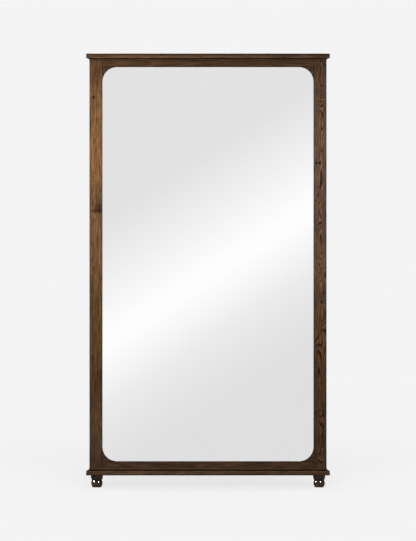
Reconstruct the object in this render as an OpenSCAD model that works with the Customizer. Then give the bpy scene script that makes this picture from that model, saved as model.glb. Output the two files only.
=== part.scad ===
// Full-length floor mirror. A fixed wooden frame with rounded opening corners stands between a flat cap and
// a flat base on two turned ball feet. The glass and its backing lie in a stepped rebate behind the frame's
// lip. Two battens stiffen the back, and two swinging D-rings there take the straps that tie the mirror to a
// wall.
// Millimetres. X runs across, Y from front to back and Z up. The origin is on the floor, in the middle of the
// outer size in X and Y.

/* [Overall] */
// Width over the cap and the base
overall_w = 1118; // [900:1:1400]
// Height from the floor to the top of the cap
overall_h = 1990; // [1500:1:2400]
// Depth of the stiles and rails, front to back
frame_d = 50; // [46:1:70]
// How far the cap and the base stand out past the frame's front and sides
overhang = 15; // [14:1:24]

/* [Frame] */
// Width of each stile
stile_w = 60; // [54:1:90]
// Height of the top rail, with the strip behind the cap's cove
top_rail_h = 41; // [40:1:80]
// Height of the bottom rail, with the strip behind the base's cove
bottom_rail_h = 44; // [40:1:80]
// Radius of the opening's four corners
corner_r = 65; // [30:1:120]
// Thickness of the lip in front of the glass
lip_t = 14; // [12:1:18]
// Wood left in the stile beyond the end of each tenon
tenon_cover = 10; // [6:1:15]
// Thickness of the tenons
tenon_t = 12; // [8:1:15]
// Shoulder above and below each tenon
tenon_shoulder = 3; // [2:0.5:5]

/* [Cap and base] */
// Thickness of the cap board
cap_t = 21; // [18:1:30]
// Thickness of the base board
base_t = 21; // [18:1:30]
// Radius of the boards' front and end edges
board_edge_r = 3; // [1:0.5:5]
// Width of the cove under the cap
cap_cove_w = 6; // [5:0.5:12]
// Width of the cove on the base
base_cove_w = 11; // [6:0.5:13]
// Thickness of each cove's outer edge
cove_edge_t = 2; // [1:0.5:3]
// Thickness of each cove's far edge, on the frame
cove_tip_t = 1; // [0.5:0.5:2]

/* [Feet] */
// Height of a foot with its pad
foot_h = 55; // [48:1:62]
// Distance from the base's end to the foot's axis
foot_inset = 49; // [40:1:70]
// Radius of the foot's ball
ball_r = 26.2; // [22:0.1:31]
// How far the feet stand behind the middle of the base, to be under the centre of mass
foot_back = 3; // [0:0.5:5]
// Height of the ball's centre above the floor
ball_z = 19.5; // [17:0.5:21]
// Radius of the collar where it meets the base
collar_r = 28; // [27:0.5:31]
// Radius of the collar's bulging side
collar_bulge_r = 33; // [31:1:45]
// How far below the base the collar is widest
collar_drop = 4; // [0:0.5:6]
// How far the felt pad stays inside the sole's edge
pad_inset = 0.5; // [0.5:0.5:4]
// Thickness of the felt pad
pad_t = 3; // [2:0.5:4]
// Radius of the foot's bolt
bolt_r = 4; // [3:0.5:5]
// Length of bolt inside the foot
bolt_in_foot = 25; // [18:1:30]
// Wall of the threaded insert
insert_wall = 2; // [1.5:0.5:3]
// Length of the threaded insert
insert_l = 14; // [10:1:16]

/* [Glass] */
// Thickness of the glass
glass_t = 5; // [4:1:6]
// How far the lip covers the glass
glass_lap = 8; // [6:0.5:10]
// Gap round the glass
glass_gap = 2; // [1:0.5:4]
// Thickness of the foam tape between the lip and the glass
tape_t = 1; // [0.5:0.5:2]
// Thickness of the paint and safety film on the glass
film_t = 0.5; // [0.3:0.1:1]
// Length of each block that the glass stands on
block_l = 50; // [30:1:80]

/* [Back] */
// Thickness of the back panel
panel_t = 6; // [4:1:8]
// Width of the ledge that the back panel is screwed to
ledge_w = 12; // [10:1:14]
// Gap round the back panel
panel_gap = 1; // [0.5:0.5:2]
// Screws along each side of the back panel
screws_per_side = 8; // [4:1:12]
// Screws along the top and the bottom of the back panel
screws_per_rail = 4; // [2:1:8]
// Width of the battens
batten_h = 60; // [40:1:90]
// Space between the back panel and the battens
batten_gap = 5.5; // [1:0.5:8]
// How far a batten reaches into each stile
batten_lap = 20; // [12:1:24]

/* [Hardware] */
// Width of the corner braces
brace_w = 14; // [12:1:16]
// Length of each leg of a corner brace, from the bend's centre
brace_leg = 73; // [60:1:100]
// Thickness of the corner braces
brace_t = 2.5; // [1.5:0.5:3]
// Distance from the top of the frame down to the rings' axis
hanger_drop = 319; // [200:1:500]
// Width of the hanger straps
strap_w = 18; // [14:1:22]
// Length of the hanger straps below the rings' axis
strap_l = 75; // [70:1:90]
// Thickness of the hanger straps
strap_t = 1.5; // [1:0.5:2]
// Radius of the rings' wire
wire_r = 2; // [1.5:0.25:2.5]
// Half the width of a ring, between the middles of its wires
ring_half_w = 15; // [13:1:16]
// Length of a ring's straight sides
ring_side = 6; // [4:1:8]
// Thickness of the wall bumpers
bumper_t = 10; // [10:1:16]
// Radius of the wall bumpers
bumper_r = 10; // [9:0.5:11]

/* [Hidden] */
$fn = 96;
fit = 0.1;         // radial clearance of a screw, dowel or bolt in its hole
glue_gap = 0.2;    // clearance round a tenon or a batten's end
over = 5;          // how far a cut runs past the face that it opens

frame_w = overall_w - 2 * overhang;
frame_bottom = foot_h + base_t;
frame_top = overall_h - cap_t;
sight_w = frame_w - 2 * stile_w;
sight_bottom = frame_bottom + bottom_rail_h;
sight_top = frame_top - top_rail_h;
sight_h = sight_top - sight_bottom;

board_front = -(overhang + frame_d + bumper_t) / 2;
frame_front = board_front + overhang;
frame_back = frame_front + frame_d;
lip_back = frame_front + lip_t;
glass_front = lip_back + tape_t;
film_front = glass_front + glass_t;
ledge_y = film_front + film_t;
panel_back = ledge_y + panel_t;

glass_rebate = glass_lap + glass_gap;
panel_rebate = glass_rebate + ledge_w;
glass_w = sight_w + 2 * glass_lap;
glass_bottom = sight_bottom - glass_lap;
glass_top = sight_top + glass_lap;
panel_w = sight_w + 2 * (panel_rebate - panel_gap);
panel_bottom = sight_bottom - panel_rebate + panel_gap;
panel_top = sight_top + panel_rebate - panel_gap;

// Outer faces of the stile's three steps, from the lip to the back
lip_x = sight_w / 2;
glass_x = lip_x + glass_rebate;
back_x = lip_x + panel_rebate;
stile_x = frame_w / 2;
strip_x = (back_x + stile_x) / 2;      // middle of the stile's back face

tenon_l = stile_w - panel_rebate - tenon_cover;
tenon_y = (ledge_y + frame_back) / 2;
peg_y = frame_front + 8;               // line of the dowels and base screws, inside the lip
peg_inset = 15;                        // from the stile's faces to its dowels
rail_pegs = [-0.31, 0, 0.31];          // places of the rails' dowels and screws, as shares of the opening
dowel_r = 4;
dowel_up = 12;
dowel_down = 22;

foot_x = overall_w / 2 - foot_inset;
foot_y = (board_front + frame_back) / 2 + foot_back;
foot_screw_x = 15;                     // from the foot's axis to the base screws that its collar covers
pad_r = sqrt(pow(ball_r, 2) - pow(ball_z - pad_t, 2)) - pad_inset;
insert_r = bolt_r + insert_wall;
bolt_up = insert_l - 2;

batten_shares = [0.35, 0.65];          // heights of the battens, as shares of the opening
batten_t = frame_back - panel_back - batten_gap;
corner_tip = 5;                        // what is cut off the corner blocks' feather ends
tape_w = glass_lap - 2;
tape_inset = 1;
spacer_l = 40;

brace_inset = 1;                       // from the frame's inner edge at the back to the braces
hole_margin = 10;                      // from the last hole in a strap or brace to its end
hardware_gap = 6;                      // between the braces and the bumpers
ring_gap = 4;                          // between a hanging ring and the first screw below it
brace_x = back_x + brace_inset + brace_w / 2;
brace_top_z = frame_top - (top_rail_h - panel_rebate) / 2;
brace_bottom_z = frame_bottom + (bottom_rail_h - panel_rebate) / 2;
brace_holes = [brace_leg / 2, brace_leg - hole_margin];

bore_r = wire_r + fit;
barrel_r = bore_r + strap_t;
barrel_l = 16;
bend_r = 4;                            // bend of a ring's wire, at its middle
ring_y = frame_back + barrel_r + 0.2;
hanger_z = frame_top - hanger_drop;
ring_reach = bend_r + ring_side + ring_half_w + wire_r;

bumper_z = brace_top_z - brace_leg - brace_w / 2 - bumper_r - hardware_gap;
bumper_floor = 4;                      // rubber left under the bumper's screw head
bumper_recess = 1;                     // room round that head

// A screw is [length, shank radius, head radius, head height, sunk head or not].
panel_screw = [16, 1.75, 3.5, 2, true];
brace_screw = [16, 1.75, 3.5, 2, true];
batten_screw = [35, 2, 4, 2.2, true];
base_screw = [50, 2.5, 4.8, 2.6, true];
strap_screw = [25, 2, 4, 2.4, false];
bumper_screw = [22, 2, 4, 2.4, false];
strap_hole_first = ring_reach + strap_screw[2] + ring_gap;
strap_hole_last = strap_l - hole_margin;
recess_w = 0.9;                        // the head's cross recess
recess_d = 1.2;
recess_l = 0.6;                        // half the recess's length, as a share of the head's radius
point_l = 3;
point_r = 0.4;

oak = "#6b4a30";
pine = "#c9a675";
board_brown = "#7a5a3c";
zinc = "#b9bcc0";
rubber = "#1d1d1e";
felt = "#2c241e";

// ---- Places that screws and pegs share with their holes ----

function spread(n, from, to) = [for (i = [0:n - 1]) from + (to - from) * (i + 0.5) / n];

ledge_mid = glass_rebate + ledge_w / 2;
panel_screws_at = concat(
    [for (side = [-1, 1], z = spread(screws_per_side, sight_bottom, sight_top))
        [side * (lip_x + ledge_mid), z]],
    [for (x = spread(screws_per_rail, -lip_x, lip_x), z = [sight_bottom - ledge_mid, sight_top + ledge_mid])
        [x, z]]
);
batten_z = [for (share = batten_shares) sight_bottom + sight_h * share];
batten_screws_at = [for (side = [-1, 1], z = batten_z, dz = [-1, 1])
    [side * (back_x + batten_lap / 2), z + dz * batten_h / 4]];
brace_screws_at = [for (side = [-1, 1], top = [true, false], d = brace_holes, upright = [true, false])
    let (z = top ? brace_top_z : brace_bottom_z, inward = top ? -1 : 1)
    upright ? [side * brace_x, z + inward * d] : [side * (brace_x - d), z]];
strap_holes = [for (i = [0:2]) strap_hole_first + (strap_hole_last - strap_hole_first) * i / 2];
strap_screws_at = [for (side = [-1, 1], d = strap_holes) [side * strip_x, hanger_z - d]];
bumper_screws_at = [for (side = [-1, 1]) [side * strip_x, bumper_z]];
dowels_at = concat(
    [for (side = [-1, 1], x = [lip_x + peg_inset, stile_x - peg_inset]) side * x],
    [for (share = rail_pegs) share * sight_w]
);
base_screws_at = concat(
    [for (side = [-1, 1], dx = [-foot_screw_x, foot_screw_x]) side * (foot_x + dx)],
    [for (share = rail_pegs) share * sight_w]
);

// ---- Helpers ----

// Draws in X and Z, extruded in Y
module slab(from, to) {
    translate([0, to, 0]) rotate([90, 0, 0]) linear_extrude(to - from) children();
}

// Draws in Y and Z, extruded in X
module strip(from, to) {
    translate([from, 0, 0]) rotate([90, 0, 90]) linear_extrude(to - from) children();
}

module box(low, high) {
    translate(low) cube(high - low);
}

module copy_left() {
    mirror([1, 0, 0]) children();
}

// What rounding takes off the lower left corner of a square at the origin
module corner_waste(r) {
    difference() {
        translate([-over, -over]) square(r + over);
        translate([r, r]) circle(r);
    }
}

// A screw along Z, its point down, with the surface that it is driven into at Z 0
module screw(s) {
    top = s[4] ? 0 : s[3];
    difference() {
        union() {
            translate([0, 0, point_l - s[0]]) cylinder(h = s[0] - point_l - (s[4] ? s[3] : 0), r = s[1]);
            translate([0, 0, -s[0]]) cylinder(h = point_l, r1 = point_r, r2 = s[1]);
            if (s[4]) translate([0, 0, -s[3]]) cylinder(h = s[3], r1 = s[1], r2 = s[2]);
            else cylinder(h = s[3], r = s[2]);
        }
        for (turn = [0, 90]) rotate(turn)
            translate([-recess_l * s[2], -recess_w / 2, top - recess_d])
                cube([2 * recess_l * s[2], recess_w, recess_d + over]);
    }
}

// The hole for that screw, open above the surface
module screw_hole(s) {
    translate([0, 0, -s[0] - fit]) cylinder(h = s[0] + over, r = s[1] + fit);
    if (s[4]) {
        translate([0, 0, -s[3]]) cylinder(h = s[3], r1 = s[1] + fit, r2 = s[2] + fit);
        cylinder(h = over, r = s[2] + fit);
    }
}

// Places children, drawn along Z, on the back: their Z 0 is at Y and their downwards is forwards
module on_back(places, y) {
    for (p = places) translate([p[0], y, p[1]]) rotate([-90, 0, 0]) children();
}

// ---- Frame ----

module right_stile_blank() {
    translate([0, 0, frame_bottom]) linear_extrude(frame_top - frame_bottom) polygon([
        [lip_x, frame_front], [stile_x, frame_front], [stile_x, frame_back], [back_x, frame_back],
        [back_x, ledge_y], [glass_x, ledge_y], [glass_x, lip_back], [lip_x, lip_back]
    ]);
}

// A rail's three steps, with the opening's edge at Z 0 and the outer edge at Z rail_h
module rail_blank(rail_h) {
    box([-lip_x, frame_front, 0], [lip_x, lip_back, rail_h]);
    box([-glass_x, lip_back, glass_rebate], [glass_x, ledge_y, rail_h]);
    box([-back_x, ledge_y, panel_rebate], [back_x, frame_back, rail_h]);
    for (side = [-1, 1]) scale([side, 1, 1]) tenon(rail_h, 0);
}

module tenon(rail_h, gap) {
    box([back_x - over, tenon_y - tenon_t / 2 - gap, panel_rebate + tenon_shoulder - gap],
        [back_x + tenon_l + gap, tenon_y + tenon_t / 2 + gap, rail_h - tenon_shoulder + gap]);
}

module place_top_rail() {
    translate([0, 0, sight_top]) children();
}

module place_bottom_rail() {
    translate([0, 0, sight_bottom]) mirror([0, 0, 1]) children();
}

module peg_holes() {
    for (x = dowels_at) translate([x, peg_y, frame_top - dowel_down])
        cylinder(h = dowel_down + dowel_up, r = dowel_r + fit);
    for (x = base_screws_at) translate([x, peg_y, foot_h]) rotate([180, 0, 0]) screw_hole(base_screw);
}

// Every hole that the back's screws make, for the frame, the panel and the battens
module back_screw_holes() {
    on_back(panel_screws_at, panel_back) screw_hole(panel_screw);
    on_back(batten_screws_at, frame_back) screw_hole(batten_screw);
    on_back(brace_screws_at, frame_back + brace_t) screw_hole(brace_screw);
    on_back(strap_screws_at, frame_back + strap_t) screw_hole(strap_screw);
    on_back(bumper_screws_at, frame_back + bumper_floor) screw_hole(bumper_screw);
}

module batten_housings() {
    for (z = batten_z)
        box([back_x - over, frame_back - batten_t, z - batten_h / 2 - glue_gap],
            [back_x + batten_lap + glue_gap, frame_back + over, z + batten_h / 2 + glue_gap]);
}

module right_stile() {
    color(oak) difference() {
        right_stile_blank();
        place_top_rail() tenon(top_rail_h, glue_gap);
        place_bottom_rail() tenon(bottom_rail_h, glue_gap);
        batten_housings();
        peg_holes();
        back_screw_holes();
    }
}

module left_stile() {
    copy_left() right_stile();
}

module top_rail() {
    color(oak) difference() {
        place_top_rail() rail_blank(top_rail_h);
        peg_holes();
        back_screw_holes();
    }
}

module bottom_rail() {
    color(oak) difference() {
        place_bottom_rail() rail_blank(bottom_rail_h);
        peg_holes();
        back_screw_holes();
    }
}

module corner_block(side, up) {
    leg = corner_r - corner_tip;
    color(oak) translate([side * lip_x, 0, up > 0 ? sight_top : sight_bottom]) slab(frame_front, lip_back)
        scale([-side, -up]) difference() {
            square(leg);
            translate([corner_r, corner_r]) circle(corner_r);
        }
}

// ---- Cap and base ----

// The two boards: flush with the frame's back, with rounded edges at the front and the ends
module board_blank(t) {
    half_w = overall_w / 2;
    intersection() {
        strip(-half_w, half_w) difference() {
            translate([board_front, 0]) square([frame_back - board_front, t]);
            translate([board_front, 0]) corner_waste(board_edge_r);
            translate([board_front, t]) mirror([0, 1]) corner_waste(board_edge_r);
        }
        slab(board_front, frame_back) difference() {
            translate([-half_w, 0]) square([overall_w, t]);
            for (side = [0, 1], end = [0, 1]) mirror([side, 0]) translate([-half_w, end * t]) mirror([0, end])
                corner_waste(board_edge_r);
        }
    }
}

// A cove's section, with the frame's face on the left and the board along the bottom
module cove_section(w) {
    difference() {
        square([w, w + cove_edge_t]);
        translate([w, w + cove_edge_t - cove_tip_t]) circle(w - cove_tip_t);
        translate([cove_tip_t, w + cove_edge_t - cove_tip_t]) square([w, over]);
    }
}

// A cove along the front, mitred at both ends, standing on Z 0
module cove_front(w) {
    intersection() {
        strip(-stile_x - w, stile_x + w) translate([frame_front, 0]) mirror([1, 0]) cove_section(w);
        linear_extrude(w + cove_edge_t) polygon([
            [-stile_x, frame_front], [stile_x, frame_front],
            [stile_x + w, frame_front - w], [-stile_x - w, frame_front - w]
        ]);
    }
}

// A cove along the right side, mitred at the front, standing on Z 0
module cove_right(w) {
    intersection() {
        slab(frame_front - w, frame_back) translate([stile_x, 0]) cove_section(w);
        linear_extrude(w + cove_edge_t) polygon([
            [stile_x, frame_front], [stile_x + w, frame_front - w],
            [stile_x + w, frame_back], [stile_x, frame_back]
        ]);
    }
}

module under_cap() {
    color(oak) translate([0, 0, frame_top]) mirror([0, 0, 1]) children();
}

module on_base() {
    color(oak) translate([0, 0, frame_bottom]) children();
}

module cap_board() {
    color(oak) difference() {
        translate([0, 0, frame_top]) board_blank(cap_t);
        peg_holes();
    }
}

module cap_dowels() {
    color(pine) for (x = dowels_at) translate([x, peg_y, frame_top - dowel_down + fit])
        cylinder(h = dowel_down + dowel_up - 2 * fit, r = dowel_r);
}

module base_board() {
    color(oak) difference() {
        translate([0, 0, foot_h]) board_blank(base_t);
        peg_holes();
        for (side = [-1, 1]) translate([side * foot_x, foot_y, foot_h - over])
            cylinder(h = insert_l + over, r = insert_r + fit);
    }
}

module base_screws() {
    color(zinc) for (x = base_screws_at) translate([x, peg_y, foot_h]) rotate([180, 0, 0]) screw(base_screw);
}

// ---- Feet ----

module place_foot() {
    translate([foot_x, foot_y, 0]) children();
}

module right_foot() {
    color(oak) place_foot() difference() {
        rotate_extrude() intersection() {
            translate([0, pad_t]) square([collar_r + ball_r, foot_h - pad_t]);
            union() {
                translate([0, ball_z]) circle(ball_r);
                intersection() {
                    translate([0, ball_z + ball_r / 2]) square([collar_r, foot_h]);
                    translate([collar_r - collar_bulge_r, foot_h - collar_drop]) circle(collar_bulge_r);
                }
            }
        }
        translate([0, 0, foot_h - bolt_in_foot]) cylinder(h = bolt_in_foot + over, r = bolt_r + fit);
    }
}

module right_foot_bolt() {
    color(zinc) place_foot() translate([0, 0, foot_h - bolt_in_foot + fit])
        cylinder(h = bolt_in_foot + bolt_up - fit, r = bolt_r);
}

module right_foot_insert() {
    color(zinc) place_foot() translate([0, 0, foot_h]) difference() {
        cylinder(h = insert_l - fit, r = insert_r);
        translate([0, 0, -over]) cylinder(h = insert_l + 2 * over, r = bolt_r + fit);
    }
}

module right_foot_pad() {
    color(felt) place_foot() cylinder(h = pad_t, r = pad_r);
}

module left_foot() {
    copy_left() right_foot();
}

module left_foot_bolt() {
    copy_left() right_foot_bolt();
}

module left_foot_insert() {
    copy_left() right_foot_insert();
}

module left_foot_pad() {
    copy_left() right_foot_pad();
}

// ---- Glass and back ----

module mirror_glass() {
    color("#dfe5e4") box([-glass_w / 2, glass_front, glass_bottom], [glass_w / 2, film_front, glass_top]);
}

module safety_film() {
    color("#5b6064") box([-glass_w / 2, film_front, glass_bottom], [glass_w / 2, ledge_y, glass_top]);
}

module glazing_tape() {
    inner_x = lip_x + tape_inset;
    inner_low = sight_bottom - tape_inset;
    inner_high = sight_top + tape_inset;
    color(rubber) {
        for (side = [0, 1]) mirror([side, 0, 0])
            box([inner_x, lip_back, inner_low - tape_w],
                [inner_x + tape_w, glass_front, inner_high + tape_w]);
        box([-inner_x, lip_back, inner_low - tape_w], [inner_x, glass_front, inner_low]);
        box([-inner_x, lip_back, inner_high], [inner_x, glass_front, inner_high + tape_w]);
    }
}

module setting_blocks() {
    color(rubber) for (side = [-1, 1]) translate([side * glass_w / 4, 0, 0])
        box([-block_l / 2, glass_front, glass_bottom - glass_gap], [block_l / 2, film_front, glass_bottom]);
}

module edge_spacers() {
    color(rubber) {
        for (side = [0, 1], share = [0.15, 0.85]) mirror([side, 0, 0])
            translate([glass_w / 2, glass_front, glass_bottom + share * (glass_top - glass_bottom)])
                translate([0, 0, -spacer_l / 2]) cube([glass_gap, glass_t, spacer_l]);
        for (side = [-1, 1]) translate([side * glass_w / 4 - spacer_l / 2, glass_front, glass_top])
            cube([spacer_l, glass_t, glass_gap]);
    }
}

module back_panel() {
    color(board_brown) difference() {
        box([-panel_w / 2, ledge_y, panel_bottom], [panel_w / 2, panel_back, panel_top]);
        on_back(panel_screws_at, panel_back) screw_hole(panel_screw);
    }
}

module back_panel_screws() {
    color(zinc) on_back(panel_screws_at, panel_back) screw(panel_screw);
}

module batten(z) {
    end_x = back_x + batten_lap;
    color(pine) difference() {
        box([-end_x, frame_back - batten_t, z - batten_h / 2], [end_x, frame_back, z + batten_h / 2]);
        on_back(batten_screws_at, frame_back) screw_hole(batten_screw);
    }
}

module lower_batten() {
    batten(batten_z[0]);
}

module upper_batten() {
    batten(batten_z[1]);
}

module batten_screws() {
    color(zinc) on_back(batten_screws_at, frame_back) screw(batten_screw);
}

// ---- Hardware ----

// The brace at the upper right, drawn in X and Z round its bend
module brace_outline() {
    half = brace_w / 2;
    translate([-half, -brace_leg]) square([brace_w, brace_leg + half]);
    translate([-brace_leg, -half]) square([brace_leg + half, brace_w]);
    translate([0, -brace_leg]) circle(half);
    translate([-brace_leg, 0]) circle(half);
}

module corner_braces() {
    color(zinc) difference() {
        slab(frame_back, frame_back + brace_t) for (side = [0, 1]) mirror([side, 0]) {
            translate([brace_x, brace_top_z]) brace_outline();
            translate([brace_x, brace_bottom_z]) mirror([0, 1]) brace_outline();
        }
        on_back(brace_screws_at, frame_back + brace_t) screw_hole(brace_screw);
    }
}

module brace_screws() {
    color(zinc) on_back(brace_screws_at, frame_back + brace_t) screw(brace_screw);
}

// A hanger's strap, rolled round the ring's bar at its top
module right_hanger_strap() {
    half = strap_w / 2;
    color(zinc) translate([strip_x, 0, hanger_z]) difference() {
        union() {
            slab(frame_back, frame_back + strap_t) {
                translate([-half, half - strap_l]) square([strap_w, strap_l - half]);
                translate([0, half - strap_l]) circle(half);
            }
            translate([-barrel_l / 2, ring_y, 0]) rotate([0, 90, 0]) cylinder(h = barrel_l, r = barrel_r);
        }
        translate([-barrel_l, ring_y, 0]) rotate([0, 90, 0]) cylinder(h = 2 * barrel_l, r = bore_r);
        for (d = strap_holes) translate([0, frame_back, -d]) rotate([90, 0, 0])
            cylinder(h = 2 * over, r = strap_screw[1] + fit, center = true);
    }
}

module left_hanger_strap() {
    copy_left() right_hanger_strap();
}

// A straight length of the ring's wire, drawn in X and Z
module wire(from, to) {
    along = to - from;
    translate([from[0], 0, from[1]]) rotate([0, atan2(along[0], along[1]), 0])
        cylinder(h = norm(along), r = wire_r);
}

// A bend of the ring's wire about a centre, from one angle for a number of degrees
module wire_bend(centre, r, start, degrees) {
    translate([centre[0], 0, centre[1]]) rotate([90, 0, 0]) rotate(start)
        rotate_extrude(angle = degrees) translate([r, 0]) circle(wire_r);
}

// A D-ring hanging from its bar
module right_hanger_ring() {
    inner = ring_half_w - bend_r;
    low = -bend_r - ring_side;
    color(zinc) translate([strip_x, ring_y, hanger_z]) {
        wire([-inner, 0], [inner, 0]);
        wire_bend([inner, -bend_r], bend_r, 0, 90);
        wire_bend([-inner, -bend_r], bend_r, 90, 90);
        wire([ring_half_w, low], [ring_half_w, -bend_r]);
        wire([-ring_half_w, low], [-ring_half_w, -bend_r]);
        wire_bend([0, low], ring_half_w, 180, 180);
    }
}

module left_hanger_ring() {
    copy_left() right_hanger_ring();
}

module hanger_screws() {
    color(zinc) on_back(strap_screws_at, frame_back + strap_t) screw(strap_screw);
}

module right_wall_bumper() {
    color(rubber) translate([strip_x, frame_back, bumper_z]) rotate([-90, 0, 0]) difference() {
        cylinder(h = bumper_t, r = bumper_r);
        translate([0, 0, bumper_floor]) cylinder(h = bumper_t, r = bumper_screw[2] + bumper_recess);
        translate([0, 0, -over]) cylinder(h = bumper_t, r = bumper_screw[1] + fit);
    }
}

module left_wall_bumper() {
    copy_left() right_wall_bumper();
}

module bumper_screws() {
    color(zinc) on_back(bumper_screws_at, frame_back + bumper_floor) screw(bumper_screw);
}

// ---- Nodes ----

left_stile();
right_stile();
top_rail();
bottom_rail();
corner_block(-1, 1);  // corner_block_top_left
corner_block(1, 1);  // corner_block_top_right
corner_block(-1, -1);  // corner_block_bottom_left
corner_block(1, -1);  // corner_block_bottom_right
cap_board();
under_cap() cove_front(cap_cove_w);  // cap_cove_front
under_cap() copy_left() cove_right(cap_cove_w);  // cap_cove_left
under_cap() cove_right(cap_cove_w);  // cap_cove_right
cap_dowels();
base_board();
on_base() cove_front(base_cove_w);  // base_cove_front
on_base() copy_left() cove_right(base_cove_w);  // base_cove_left
on_base() cove_right(base_cove_w);  // base_cove_right
base_screws();
left_foot();
right_foot();
left_foot_bolt();
right_foot_bolt();
left_foot_insert();
right_foot_insert();
left_foot_pad();
right_foot_pad();
mirror_glass();
safety_film();
glazing_tape();
setting_blocks();
edge_spacers();
back_panel();
back_panel_screws();
upper_batten();
lower_batten();
batten_screws();
corner_braces();
brace_screws();
left_hanger_strap();
right_hanger_strap();
left_hanger_ring();
right_hanger_ring();
hanger_screws();
left_wall_bumper();
right_wall_bumper();
bumper_screws();
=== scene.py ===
import math

import bmesh
import bpy
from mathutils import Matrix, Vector


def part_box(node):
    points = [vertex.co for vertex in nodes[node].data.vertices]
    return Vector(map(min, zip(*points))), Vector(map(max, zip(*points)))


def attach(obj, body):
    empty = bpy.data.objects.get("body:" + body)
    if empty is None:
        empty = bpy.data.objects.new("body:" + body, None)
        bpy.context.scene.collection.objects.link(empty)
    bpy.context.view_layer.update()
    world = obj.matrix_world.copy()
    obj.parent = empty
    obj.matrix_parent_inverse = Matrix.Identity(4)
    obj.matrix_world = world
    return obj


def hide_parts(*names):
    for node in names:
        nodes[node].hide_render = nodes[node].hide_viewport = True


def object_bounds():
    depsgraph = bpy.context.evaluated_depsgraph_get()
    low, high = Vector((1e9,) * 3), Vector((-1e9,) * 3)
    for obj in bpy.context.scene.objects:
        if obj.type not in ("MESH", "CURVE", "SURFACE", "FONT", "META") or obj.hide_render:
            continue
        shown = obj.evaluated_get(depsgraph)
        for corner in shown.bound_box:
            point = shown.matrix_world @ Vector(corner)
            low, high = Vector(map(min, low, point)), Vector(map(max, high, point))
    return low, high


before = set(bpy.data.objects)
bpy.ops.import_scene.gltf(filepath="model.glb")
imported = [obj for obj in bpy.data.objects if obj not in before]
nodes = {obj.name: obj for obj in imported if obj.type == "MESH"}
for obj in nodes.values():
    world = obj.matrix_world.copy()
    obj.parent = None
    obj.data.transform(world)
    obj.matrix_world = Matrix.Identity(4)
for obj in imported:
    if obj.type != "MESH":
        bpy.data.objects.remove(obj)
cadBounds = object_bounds()
mm = 0.001
tiny = 1e-5         # places closer than this are the same
boardLength = 0.5   # an edge that reaches further than this along an axis is a board's long edge
noiseRange = {"From Min": 0.3, "From Max": 0.7}     # what a noise's values mostly stay between
bpy.ops.object.select_all(action="DESELECT")
print("frame loaded:", len(nodes), "CAD nodes")


# Materials: small tools

# An sRGB hex colour as linear red, green, blue and alpha
def linearColour(hexColour):
    parts = [int(hexColour[i:i + 2], 16) / 255 for i in (1, 3, 5)]
    return [p / 12.92 if p <= 0.04045 else ((p + 0.055) / 1.055) ** 2.4 for p in parts] + [1.0]


# Adds a shader node. settings are its properties, inputs are plain values or the nodes or sockets to link from
def addNode(tree, kind, settings=None, inputs=None):
    node = tree.nodes.new("ShaderNode" + kind)
    for key, value in (settings or {}).items():
        setattr(node, key, value)
    for key, value in (inputs or {}).items():
        socket = node.inputs[key] if isinstance(key, int) else next(
            s for s in node.inputs if s.enabled and s.name == key)
        if isinstance(value, bpy.types.Node):
            value = next(s for s in value.outputs if s.enabled)
        if isinstance(value, bpy.types.NodeSocket):
            tree.links.new(value, socket)
        else:
            socket.default_value = value
    return node


# Gives a new material, its node tree and its shader
def newMaterial(name):
    material = bpy.data.materials.new(name)
    material.use_nodes = True
    return material, material.node_tree, material.node_tree.nodes["Principled BSDF"]


# stops: how far along the ramp, and a colour or a plain grey value there
def setRamp(node, stops):
    elements = node.color_ramp.elements
    while len(elements) < len(stops):
        elements.new(1.0)
    for element, (place, colour) in zip(elements, stops):
        element.position = place
        element.color = linearColour(colour) if isinstance(colour, str) else [colour] * 3 + [1.0]
    return node


# Links a node's result to one of the shader's sockets
def feed(tree, node, shader, socket):
    tree.links.new(next(s for s in node.outputs if s.enabled), shader.inputs[socket])


# Gives a CAD node its finish
def paint(name, material):
    for holder in nodes[name].material_slots:
        holder.material = material


# Modelling: small tools

def selectOnly(piece):
    bpy.ops.object.select_all(action="DESELECT")
    piece.select_set(True)
    bpy.context.view_layer.objects.active = piece


# The middle of a box from its two corners
def middle(low, high):
    return [(a + b) / 2 for a, b in zip(low, high)]


# Adds a block between two corners and opens it in edit mode, with its place in its mesh
def startBlock(name, low, high):
    bpy.ops.object.select_all(action="DESELECT")
    bpy.ops.mesh.primitive_cube_add(
        size=1, location=middle(low, high), scale=[b - a for a, b in zip(low, high)])
    piece = bpy.context.object
    piece.name = name
    bpy.ops.object.transform_apply(location=True, rotation=True, scale=True)
    bpy.ops.object.mode_set(mode="EDIT")
    return piece


# Selects faces by their middle and normal
def pickFaces(piece, test):
    bpy.ops.mesh.select_mode(type="FACE")
    bpy.ops.mesh.select_all(action="DESELECT")
    mesh = bmesh.from_edit_mesh(piece.data)
    for face in mesh.faces:
        face.select_set(test(face.calc_center_median(), face.normal))
    bmesh.update_edit_mesh(piece.data)


# Selects edges by their two ends
def pickEdges(piece, test):
    bpy.ops.mesh.select_mode(type="EDGE")
    bpy.ops.mesh.select_all(action="DESELECT")
    mesh = bmesh.from_edit_mesh(piece.data)
    for edge in mesh.edges:
        edge.select_set(test(edge.verts[0].co, edge.verts[1].co))
    bmesh.update_edit_mesh(piece.data)


# Whether both ends of an edge lie at a place on an axis
def bothAt(a, b, axis, place):
    return abs(a[axis] - place) < tiny and abs(b[axis] - place) < tiny


# Whether an edge is one of a board's long ones
def runsAlong(a, b, axis):
    return abs(a[axis] - b[axis]) > boardLength


# Cuts the open piece across an axis at each place
def cutAt(axis, places):
    for place in places:
        bpy.ops.mesh.select_all(action="SELECT")
        direction = [float(i == axis) for i in range(3)]
        bpy.ops.mesh.bisect(plane_co=[place * d for d in direction], plane_no=direction)


# Evenly spaced places between two others
def between(low, high, count):
    return [low + (high - low) * (i + 1) / (count + 1) for i in range(count)]


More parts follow.
